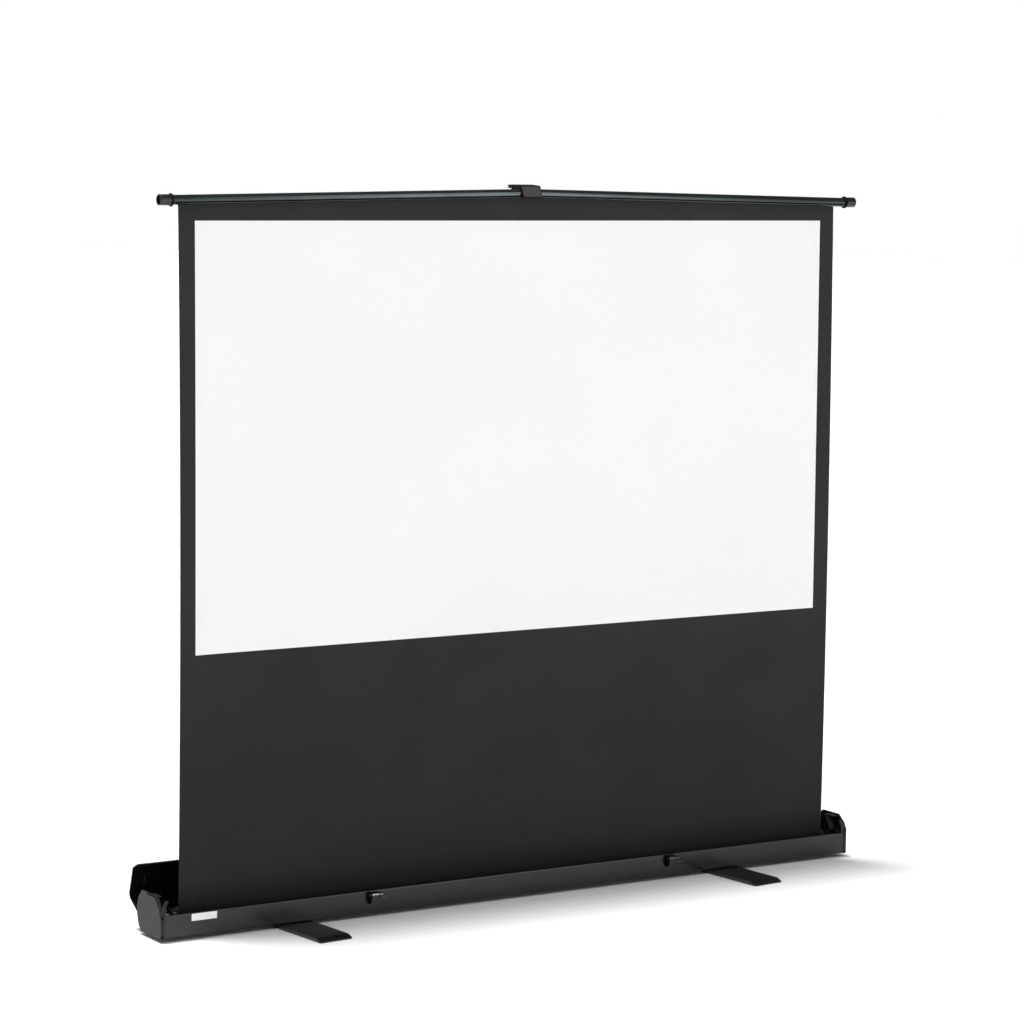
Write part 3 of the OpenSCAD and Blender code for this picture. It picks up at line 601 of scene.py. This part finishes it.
# Hem: the cloth goes round the rod, comes back down behind the sheet and is sewn there
hem = {
    "skin": 0.7,
    "wrap": (-52, 180),             # degrees round from the back
    "wrapSteps": 20,
    "tuck": (0.1, 0.55),            # inwards in millimetres, and down as a share of the radius
    "meetFront": 0.4,               # where the two layers meet below the rod
    "meetBack": 1.6,
    "boreSteps": 24,
    "flap": 9.5,
    "flapThick": 0.9,
    "flapGap": 0.15,
}
stitches = {
    "pitch": 5.0,
    "length": 3.3,
    "drop": 6.5,
    "endGap": 8,
    "levels": [(1, 0.32, -0.1), (0.55, 0.16, 0.34)],   # share of the length, half width, height
}


def makeHem(plan):
    # cross-section: a tube of cloth whose two layers run together below it
    r = sleeveRadius
    start, stop = plan["wrap"]
    steps = plan["wrapSteps"]
    front = fabricHigh.y - sleeveY + plan["flapGap"]
    back = front + plan["flapThick"]
    low = -r - plan["flap"]
    outline = [around(r, start + (stop - start) * k / steps) for k in range(steps + 1)]
    outline += [(-r + plan["tuck"][0], -r * plan["tuck"][1]), (front, -r - plan["meetFront"]),
                (front, low), (back, low), (back, -r - plan["meetBack"])]
    bm = bmesh.new()
    outer = bowedSweep(bm, sleeveHigh.x, sleeveY, outline)
    inner = bowedSweep(bm, sleeveHigh.x, sleeveY, circle(r - plan["skin"], plan["boreSteps"]))
    for end in (0, -1):
        edges = [bm.edges.get(pair) for ring in (outer[end], inner[end])
                 for pair in zip(ring, ring[1:] + ring[:1])]
        bmesh.ops.triangle_fill(bm, use_beauty=True, edges=edges)
    finishPiece("hemSleeve", bm, "hem_sleeve")


def makeStitches(plan):
    # a row of short thread bars, thicker in their middle, on the back of the hem
    bm = bmesh.new()
    y = fabricHigh.y + hem["flapGap"] + hem["flapThick"]
    count = int((2 * sleeveHigh.x - plan["endGap"]) / plan["pitch"])
    for i in range(count):
        x = (i - (count - 1) / 2) * plan["pitch"]
        z = barHeight(x) - sleeveRadius - plan["drop"]
        foot, crest = [[bm.verts.new(place(x + u * share * plan["length"] / 2, y + out, z + v * half))
                        for u, v in ((-1, -1), (1, -1), (1, 1), (-1, 1))]
                       for share, half, out in plan["levels"]]
        bm.faces.new(foot[::-1])
        bm.faces.new(crest)
        joinRings(bm, foot, crest)
    finishPiece("hemStitches", bm, "hem_sleeve", replaced=())


# Screen cloth: one sheet from the roller to the hem, its side edges curling towards the viewer
cloth = {
    "curlLeft": 10,
    "curlRight": 6,
    "curlWidth": 46,        # distance over which the curl dies away
    "curlRise": 0.8,        # below 1, the curl comes in quickly above the case and below the bar
    "columns": 60,
    "rows": 48,
    "evenShare": 0.35,      # the other lines crowd towards the edges
    "hemGap": 0.2,
    "touch": 0.01,
}


def clothTop(x):
    return barHeight(x) - sleeveRadius - cloth["hemGap"]


sideTop = clothTop(fabricHigh.x)


def clothDepth(x, z):
    # how far the sheet stands in front of its flat place
    share = (z - fabricLow.z) / (sideTop - fabricLow.z)
    bulge = math.sin(math.pi * min(max(share, 0), 1)) ** cloth["curlRise"]
    left = cloth["curlLeft"] * math.exp(-(x - fabricLow.x) / cloth["curlWidth"])
    right = cloth["curlRight"] * math.exp(-(fabricHigh.x - x) / cloth["curlWidth"])
    return bulge * (left + right)


def clothPoint(x, z, depth):
    # above the white area the sheet is stretched up to the bowed hem
    share = max(0, (z - whiteHigh.z) / (sideTop - whiteHigh.z))
    return place(x, depth - clothDepth(x, z), z + share * (clothTop(x) - sideTop))


def gridLines(low, high, count, marks):
    # spread lines, closer together near both ends, with the marks among them
    lines = []
    for k in range(count + 1):
        t = k / count
        eased = 0.5 - 0.5 * math.cos(math.pi * t)
        lines.append(low + (high - low) * (cloth["evenShare"] * t + (1 - cloth["evenShare"]) * eased))
    for mark in marks:
        nearest = min(range(1, count), key=lambda k: abs(lines[k] - mark))
        lines[nearest] = mark
    return lines


def within(lines, low, high):
    return [v for v in lines if low - cloth["touch"] <= v <= high + cloth["touch"]]


def clothSheet(name, node, xs, zs, box):
    # a grid of points in front and one at the back, joined round their edges
    bm = bmesh.new()
    sides = [[[bm.verts.new(clothPoint(x, z, depth)) for x in xs] for z in zs]
             for depth in (box[0].y, box[1].y)]
    rims = []
    for side in sides:
        for low, high in zip(side, side[1:]):
            for j in range(len(xs) - 1):
                bm.faces.new((low[j], low[j + 1], high[j + 1], high[j]))
        rims.append(side[0] + [row[-1] for row in side[1:]] + side[-1][-2::-1]
                    + [row[0] for row in side[-2:0:-1]])
    joinRings(bm, *rims)
    return finishPiece(name, bm, node)


makeTube(bar)
makeHem(hem)
makeStitches(stitches)
columns = gridLines(fabricLow.x, fabricHigh.x, cloth["columns"], (whiteLow.x, 0, whiteHigh.x))
rows = gridLines(fabricLow.z, sideTop, cloth["rows"], (whiteLow.z, whiteHigh.z))
fabricPiece = clothSheet("screenCloth", "fabric", columns, rows, (fabricLow, fabricHigh))
whitePiece = clothSheet("viewArea", "screen_face", within(columns, whiteLow.x, whiteHigh.x),
                        within(rows, whiteLow.z, whiteHigh.z), (whiteLow, whiteHigh))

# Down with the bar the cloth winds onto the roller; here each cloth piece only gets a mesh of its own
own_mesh(fabricPiece)
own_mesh(whitePiece)

# Cloth left on the roller: a wound sheet whose last turn leaves the roll at its front
roll = {"turns": 2, "gap": 0.05, "steps": 44}


def makeRoll(plan):
    low, high = inCase("fabric_roll")
    thick = fabricHigh.y - fabricLow.y
    centreY, centreZ = (low.y + high.y) / 2, (low.z + high.z) / 2
    outerRadius = (high.z - low.z) / 2
    steps = plan["turns"] * plan["steps"]
    layers = []
    for inset in (0, thick):
        points = []
        for k in range(steps + 1):
            turns = plan["turns"] * k / steps
            radius = outerRadius - turns * (thick + plan["gap"]) - inset
            y, z = around(radius, 180 + 360 * turns)
            points.append((centreY + y, centreZ + z))
        layers.append(points)
    bm = bmesh.new()
    prism(bm, layers[0] + layers[1][::-1], low.x, high.x)
    finishPiece("fabricRoll", bm, "fabric_roll")


makeRoll(roll)
print("bar, hem and screen cloth ready")

# Case profile, folded from one sheet
case = {
    "wall": 2,
    "bend": 3,              # inside radius of the folds
    "lipBend": 1.4,
    "front": 49,
    "lip": 2.8,
    "rearFoot": 93,
    "rearKnee": (105, 10),
    "hinge": (111, 28),
    "edgeOff": 4.4,         # from the hinge's axis to the sheet's edge
    "barrelReach": 1,       # how much further the hinge's sheets run into their barrels
    "edge": 0.7,
    "lining": 0.15,
}
barrels = {
    "radius": 4,
    "bore": 1.76,
    "steps": 28,
    "pitch": 380,
    "count": 5,
    "caseLength": 70,
    "lidLength": 60,
    "gap": 0.4,
}
shadeSheetGap = 0.02            # a sheet of painted shade stands this far off its wall
troughHalf = inCase("trough")[1].x
hinge = Vector(case["hinge"])


def offHinge(point, gap):
    # the spot at a gap from the hinge's axis, on the line to a point
    return hinge + (Vector(point) - hinge).normalized() * gap


def casePath(gap):
    # outside of the case from its lip round to a gap from the hinge's axis
    corners = [(case["lip"], case["front"]), (0, case["front"]), (0, 0), (case["rearFoot"], 0),
               case["rearKnee"], offHinge(case["rearKnee"], gap)]
    return [Vector(p) for p in corners]


def barrel(bm, x0, x1):
    # one rolled hinge barrel round the rod
    radius, bore = barrels["radius"], barrels["bore"]
    rings = [[bm.verts.new(place(x, hinge.x + u, hinge.y + v)) for u, v in circle(r, barrels["steps"])]
             for r, x in ((radius, x0), (radius, x1), (bore, x1), (bore, x0))]
    for one, two in zip(rings, rings[1:] + rings[:1]):
        joinRings(bm, one, two)


def hingeBarrels(bm, offsets, length):
    for k in range(barrels["count"]):
        middle = (k - (barrels["count"] - 1) / 2) * barrels["pitch"]
        for offset in offsets:
            barrel(bm, middle + offset - length / 2, middle + offset + length / 2)


def makeTrough(plan):
    # front wall with its turned-in lip, floor and rear wall
    path = casePath(plan["edgeOff"] + plan["barrelReach"])
    folds = [plan["bend"]] * 3 + [0]
    bm = bmesh.new()
    prism(bm, thickened(rounded(path, [0, plan["lipBend"], *folds]), plan["wall"]), -troughHalf, troughHalf)
    hingeBarrels(bm, (0,), barrels["caseLength"])
    finishPiece("caseTrough", bm, "trough", bevel=plan["edge"])
    # painted shade: a flat black sheet just inside the trough's walls
    inside = beside(rounded(path[1:], [0, *folds]), plan["wall"] + shadeSheetGap)
    bm = bmesh.new()
    prism(bm, thickened(inside, plan["lining"]), -troughHalf, troughHalf)
    finishPiece("caseLining", bm, "trough", replaced=(), material=blackAndPaintedShade)


# Lid: flat panels folded from one sheet, drawn closed and then turned open
lid = {
    "tip": (1.2, 50),
    "lip": (2.2, 55),
    "brow": (9.5, 68.5),
    "front": (27, 87.3),
    "rear": (89, 87.3),
    "haunch": (97, 79.25),
    "open": 73,             # degrees
    "wall": 2,
    "bend": 2.6,
    "notchHalf": 872,
    "notchDepth": 8,
    "lining": 0.3,
}
lidHalf = inCase("lid")[1].x


def opened(point):
    # a closed lid's point, turned about the hinge to where the lid stands open
    a = math.radians(-lid["open"])
    d = Vector(point) - hinge
    return hinge + Vector((d.x * math.cos(a) - d.y * math.sin(a), d.x * math.sin(a) + d.y * math.cos(a)))


def beyond(outline, depth):
    # the part of a closed outline that lies behind a depth
    kept = []
    for a, b in zip(outline, outline[1:] + outline[:1]):
        if a.x >= depth:
            kept.append(a)
        if (a.x < depth) != (b.x < depth):
            kept.append(a.lerp(b, (depth - a.x) / (b.x - a.x)))
    return kept


def lidPanels(bm, outline):
    # full depth in the middle, and with the corner of the lip cut off at both ends
    short = beyond(outline, lid["notchDepth"])
    prism(bm, outline, -lid["notchHalf"], lid["notchHalf"], opened)
    for side in (-1, 1):
        prism(bm, short, side * lid["notchHalf"], side * lidHalf, opened)


def makeLid(plan):
    corners = [plan[k] for k in ("tip", "lip", "brow", "front", "rear", "haunch")]
    corners.append(offHinge(plan["haunch"], case["edgeOff"] + case["barrelReach"]))
    path = rounded(corners, plan["bend"])
    bm = bmesh.new()
    lidPanels(bm, thickened(path, -plan["wall"]))
    shift = (barrels["caseLength"] + barrels["lidLength"]) / 2 + barrels["gap"]
    hingeBarrels(bm, (-shift, shift), barrels["lidLength"])
    finishPiece("caseLid", bm, "lid", bevel=case["edge"])
    # painted shade: a flat black sheet just inside the lid's panels
    inside = beside(path, -plan["wall"] - shadeSheetGap)
    bm = bmesh.new()
    lidPanels(bm, thickened(inside, -plan["lining"]))
    finishPiece("lidLining", bm, "lid", replaced=(), material=blackAndPaintedShade)


makeTrough(case)
makeLid(lid)
print("trough and lid ready")

# End caps: an outer plate with softened edges, a rim round the trough and a rest for the lid
cap = {
    "outline": [(-0.6, -0.6), (-0.6, 57), (7, 71), (28, 88.5), (89, 88.5), (106, 71), (114, 47), (112, 29),
                (105, 9.4), (93, -0.6)],
    "corner": [2.5, 8, 8, 7, 7, 8, 10, 12, 8, 6],
    "plate": 3.5,
    "edge": 1.1,
    "proud": 0.6,
    "slit": 0.5,
    "rimCorner": [0, 1.2, 1.5, 3, 3, 0],
    "rest": [(30, 88.5), (62, 88.5)],
    "restDrop": 3.7,
    "restThick": 2.2,
    "restLength": 13,
}
# Flat black on a cap: painted shade over its inside and the end block's web, and on the outside a painted
# shadow strip along the top and front edge and a black corner stud
capDark = {
    "share": 0.965,         # size of the inside's painted shade against the plate
    "thick": 0.2,
    "web": [(3, 5), (53, 5), (53, 45), (56.5, 81), (37.5, 74), (31.5, 45.5), (3, 45.5)],
    "webInside": 2.5,
    "seam": [(66, 88.5), (28, 88.5), (7, 71), (-0.6, 57), (-0.6, 46)],
    "seamCorner": [0, 8, 8, 8, 0],
    "seamFrom": 0.7,
    "seamWide": 4.4,
    "seamProud": 0.04,
    "seamSunk": 0.3,
    "studPlace": (3.4, 3.4),    # from the end, and height
    "studRadius": 3.1,
    "studProud": 0.12,
    "studSunk": 0.2,
    "studSteps": 24,
}
capInside = inCase("end_cap_left")[0].x + cap["plate"]
capTop = inCase("end_cap_left")[1].z


def mirrored(bm, side):
    # what is drawn for the left end is mirrored for the right one
    if side > 0:
        for v in bm.verts:
            v.co.x = -v.co.x


def makeCap(side, node, name):
    bm = bmesh.new()
    prism(bm, rounded(cap["outline"], cap["corner"], closed=True), -caseEnd, capInside)
    rim = rounded(beside(casePath(case["edgeOff"]), -cap["proud"]), cap["rimCorner"])
    prism(bm, thickened(rim, case["wall"] + cap["proud"]), capInside, -troughHalf - cap["slit"])
    rest = beside([Vector(p) for p in cap["rest"]], -cap["restDrop"])
    prism(bm, thickened(rest, -cap["restThick"]), capInside, capInside + cap["restLength"])
    mirrored(bm, side)
    finishPiece(name, bm, node, bevel=cap["edge"], segments=3)


def makeCapDark(side, node, name, plan):
    bm = bmesh.new()
    # painted shade: flat black over the cap's inside and the end block's web
    middle = Vector((caseDepth / 2, capTop / 2))
    inside = [middle + (Vector(p) - middle) * plan["share"] for p in cap["outline"]]
    prism(bm, inside, capInside + shadeSheetGap, capInside + plan["thick"])
    web = capInside + plan["webInside"]
    prism(bm, [Vector(p) for p in plan["web"]], web + shadeSheetGap, web + plan["thick"])
    # painted shadow: a flat black strip along the cap's outer top and front edge
    seam = beside(rounded(plan["seam"], plan["seamCorner"]), plan["seamFrom"])
    prism(bm, thickened(seam, plan["seamWide"]), -caseEnd - plan["seamProud"], -caseEnd + plan["seamSunk"])
    inset, height = plan["studPlace"]
    disc = [(-plan["studProud"], 0), (-plan["studProud"], plan["studRadius"]),
            (plan["studSunk"], plan["studRadius"]), (plan["studSunk"], 0)]
    turned(bm, disc, (-caseEnd + inset, -cap["proud"], height), "Y", plan["studSteps"])
    mirrored(bm, side)
    finishPiece(name, bm, node, replaced=(), material=blackAndPaintedShade)


screw = {
    "inset": 3.9,
    "height": 43.6,
    "head": [(0.2, 0), (0.2, 3.3), (-0.3, 3.3), (-0.6, 2.9), (-0.6, 1.9), (-0.35, 1.7), (-0.35, 0)],
    "steps": 32,
}


def makeScrews(plan):
    # round screw heads with a socket, each on the proud rim of its cap: black screws, their wide flat rim
    # standing for the painted shade of a counterbore
    bm = bmesh.new()
    for side in (-1, 1):
        centre = (side * (caseEnd - plan["inset"]), -cap["proud"], plan["height"])
        turned(bm, plan["head"], centre, "Y", plan["steps"])
    finishPiece("capScrewHeads", bm, "cap_screws", material=blackAndPaintedShade)


for side, node, name in ((-1, "end_cap_left", "endCapLeft"), (1, "end_cap_right", "endCapRight")):
    makeCap(side, node, name)
    makeCapDark(side, node, name + "Lining", capDark)
makeScrews(screw)
print("end caps ready")

# Ends of the bar: a turned plug with a deep cup in its end, and a thin ring with an eye for the hem rod
plug = {
    "radius": 11.5,
    "length": 25.5,
    "shank": 8.6,
    "heel": 0.4,            # small slope next to the ring
    "round": 1.3,
    "roundSteps": 6,
    "dish": 7,
    "dishRadius": 9.6,
    "dishLip": 0.3,         # wider than dishRadius at its mouth
    "dishTaper": 0.6,       # narrower at its bottom
    "edge": 0.3,
}
collar = {
    "width": 4,
    "radius": 13.7,
    "bore": 8.7,
    "round": (1.1, 0.35),   # the two steps of its rounded edges
    "eyeRadius": 5.4,
    "eyeBore": 3.15,
    "eyeEdge": (0.7, 0.9),
    "eyeSeat": 2,
    "eyeSteps": 32,
}


def makePlug(side, node, name, plan):
    r, length, soft, dish = plan["radius"], plan["length"], plan["round"], plan["dishRadius"]
    profile = [(-collar["width"], 0), (-collar["width"], plan["shank"]), (0, plan["shank"]),
               (0, r - plan["heel"]), (plan["heel"], r)]
    for k in range(plan["roundSteps"] + 1):
        up, out = around(soft, 90 * k / plan["roundSteps"])
        profile.append((length - soft + out, r - soft + up))
    profile += [(length, dish + plan["dishLip"]), (length - plan["dish"], dish - plan["dishTaper"]),
                (length - plan["dish"], 0)]
    bm = bmesh.new()
    turned(bm, profile, (tubeEnd + collar["width"], tubeY, barZ))
    mirrored(bm, -side)
    finishPiece(name, bm, node, bevel=plan["edge"])


def makeCollar(side, node, name, plan):
    r, width, bore = plan["radius"], plan["width"], plan["bore"]
    large, small = plan["round"]
    ring = [(0, bore), (0, r - large), (small, r - small), (large, r), (width - large, r),
            (width - small, r - small), (width, r - large), (width, bore), (0, bore)]
    bm = bmesh.new()
    turned(bm, ring, (tubeEnd, tubeY, barZ))
    eye, eyeBore, seat = plan["eyeRadius"], plan["eyeBore"], width - plan["eyeSeat"]
    near, far = plan["eyeEdge"]
    lug = [(0, eyeBore), (0, eye - near), (near, eye), (width - far, eye), (width, eye - far),
           (width, 0), (seat, 0), (seat, eyeBore), (0, eyeBore)]
    turned(bm, lug, (tubeEnd, sleeveY, barZ), steps=plan["eyeSteps"])
    bmesh.ops.remove_doubles(bm, verts=bm.verts, dist=samePoint * mm)
    mirrored(bm, -side)
    finishPiece(name, bm, node)


makePlug(-1, "end_plug_left", "barPlugLeft", plug)
makePlug(1, "end_plug_right", "barPlugRight", plug)
makeCollar(-1, "collar_left", "barCollarLeft", collar)
makeCollar(1, "collar_right", "barCollarRight", collar)
print("bar ends ready")

# Solids whose own shape is right: the same shape with its edges rounded
roundedEdges = {
    "end_block_left": 0.6, "end_block_right": 0.6, "arm_base": 0.6, "latch_base_left": 0.4,
    "latch_base_right": 0.4, "latch_lever_left": 0.35, "latch_lever_right": 0.35, "foot_left": 1.3,
    "foot_right": 1.3, "foot_pads_left": 0.4, "foot_pads_right": 0.4, "foot_bolt_left": 0.3,
    "foot_bolt_right": 0.3, "clip": 0.5, "top_bracket": 0.5, "lower_arm_left": 0.6,
    "lower_arm_right": 0.6, "upper_arm_left": 0.6, "upper_arm_right": 0.6, "lid_catches": 0.2,
    "elbow_pin_left": 0.3, "elbow_pin_right": 0.3, "base_pins": 0.3, "top_pins": 0.3,
    "latch_pin_left": 0.2, "latch_pin_right": 0.2, "blank_label": 0.1, "clip_plate": 0.25,
    "lid_seal": 0.4, "roller_plug_left": 0.4, "roller_plug_right": 0.4,
}
paintedShadeNodes = ("roller_plug_left", "roller_plug_right", "idler_bush")   # painted flat black as the shade deep in the case
pocket = {"postDepth": 5.4, "ribDepth": 34, "ribFoot": 49, "ribEnd": 886}
latchPlate = 1.8            # depth of the latches' base plates, which are painted like the case


def pocketInShade(middle):
    # an end block keeps the moulding's grey on its post and its rib; the pocket behind is painted flat
    # black as shade
    post = middle.y < pocket["postDepth"]
    above = middle.y > pocket["ribDepth"] and middle.z > pocket["ribFoot"]
    rib = above and abs(middle.x) < pocket["ribEnd"]
    return not (post or rib)


def onPlate(middle):
    return middle.y > -latchPlate


for node, width in roundedEdges.items():
    words = node.split("_")
    name = words[0] + "".join(w.capitalize() for w in words[1:]) + "Finished"
    piece = softened(node, name, width, blackAndPaintedShade if node in paintedShadeNodes else None)
    if node.startswith("end_block"):
        repaint(piece, blackAndPaintedShade, pocketInShade)
    if node.startswith("latch_base"):
        repaint(piece, finishes["case_paint"], onPlate)

for node in sorted(nodes):
    nodes[node].data.materials.clear()
    nodes[node].data.materials.append(blackAndPaintedShade if node in paintedShadeNodes else finishes[slotOf[node]])
print("every solid has its finish")
